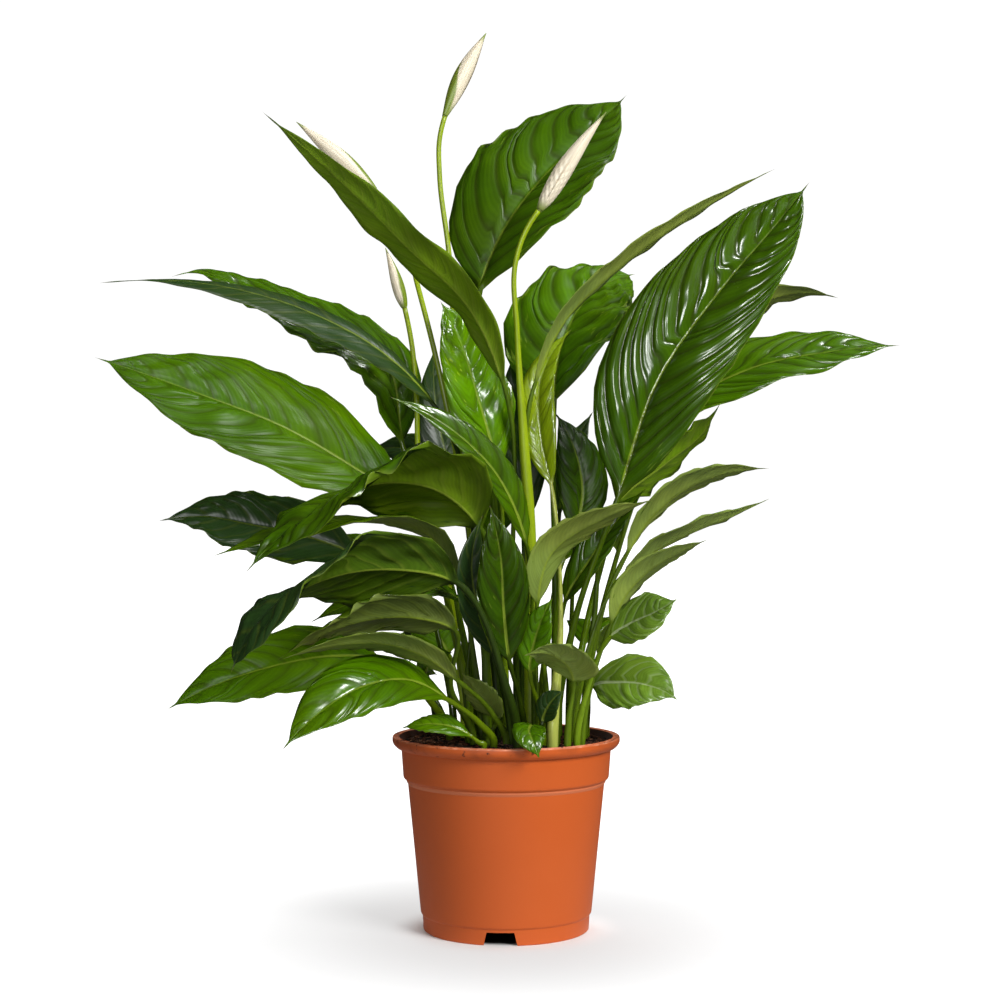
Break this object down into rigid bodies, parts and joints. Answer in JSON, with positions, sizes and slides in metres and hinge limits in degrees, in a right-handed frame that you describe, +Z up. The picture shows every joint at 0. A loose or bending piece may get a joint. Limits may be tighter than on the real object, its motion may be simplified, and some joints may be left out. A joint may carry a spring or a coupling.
{
  "type": "potted peace lily",
  "caption": "Bushy peace lily with broad glossy pointed leaves on long stalks and slim half-rolled white flowers, growing in peat in a tapered terracotta-orange plastic pot.",
  "frame": {"origin": "centre of the bounding box at floor level; the pot's axis is within a few millimetres of it", "axes": "+Z up along the pot's axis, -Y towards the viewer of the picture, +X to the viewer's right"},
  "size_m": [0.598, 0.3568, 0.673],
  "materials": {
    "pot": "satin terracotta orange",
    "peat": "rough, crumbly dark peat",
    "leaf_deep": "glossy deep green",
    "leaf_dark": "glossy dark green",
    "leaf_bright": "glossy bright green",
    "leaf_olive": "satin olive, the under side of a leaf",
    "leaf_pale": "satin pale green, a young leaf",
    "stalk": "satin yellow green",
    "hood": "matte cream white"
  },
  "bodies": {
    "root": {"pot": "pot", "soil": "peat", "leaf_01": "leaf_olive", "leaf_02": "leaf_deep", "leaf_03": "leaf_deep", "leaf_04": "leaf_olive", "leaf_05": "leaf_deep", "leaf_06": "leaf_deep", "leaf_07": "leaf_olive", "leaf_08": "leaf_dark", "leaf_09": "leaf_olive", "leaf_10": "leaf_olive", "leaf_11": "leaf_olive", "leaf_12": "leaf_bright", "leaf_13": "leaf_bright", "leaf_14": "leaf_bright", "leaf_15": "leaf_dark", "leaf_16": "leaf_deep", "leaf_17": "leaf_bright", "leaf_18": "leaf_deep", "leaf_19": "leaf_deep", "leaf_20": "leaf_olive", "leaf_21": "leaf_dark", "leaf_23": "leaf_dark", "leaf_24": "leaf_deep", "leaf_25": "leaf_olive", "leaf_26": "leaf_olive", "leaf_27": "leaf_bright", "leaf_28": "leaf_bright", "leaf_29": "leaf_olive", "leaf_30": "leaf_bright", "leaf_31": "leaf_bright", "leaf_32": "leaf_deep", "leaf_33": "leaf_bright", "leaf_34": "leaf_olive", "leaf_35": "leaf_olive", "leaf_36": "leaf_dark", "leaf_37": "leaf_dark", "leaf_38": "leaf_dark", "leaf_39": "leaf_pale", "leaf_40": "leaf_dark", "leaf_41": "leaf_dark", "leaf_42": "leaf_dark", "leaf_43": "leaf_dark", "leaf_44": "leaf_dark", "leaf_45": "leaf_deep", "leaf_46": "leaf_deep", "leaf_47": "leaf_deep", "leaf_48": "leaf_bright", "leaf_49": "leaf_bright", "leaf_50": "leaf_deep", "flower_1_stalk": "stalk", "flower_1_hood": "hood", "flower_2_stalk": "stalk", "flower_2_hood": "hood", "flower_3_stalk": "stalk", "flower_3_hood": "hood", "flower_4_stalk": "stalk", "flower_4_hood": "hood"}
  },
  "joints": []
}
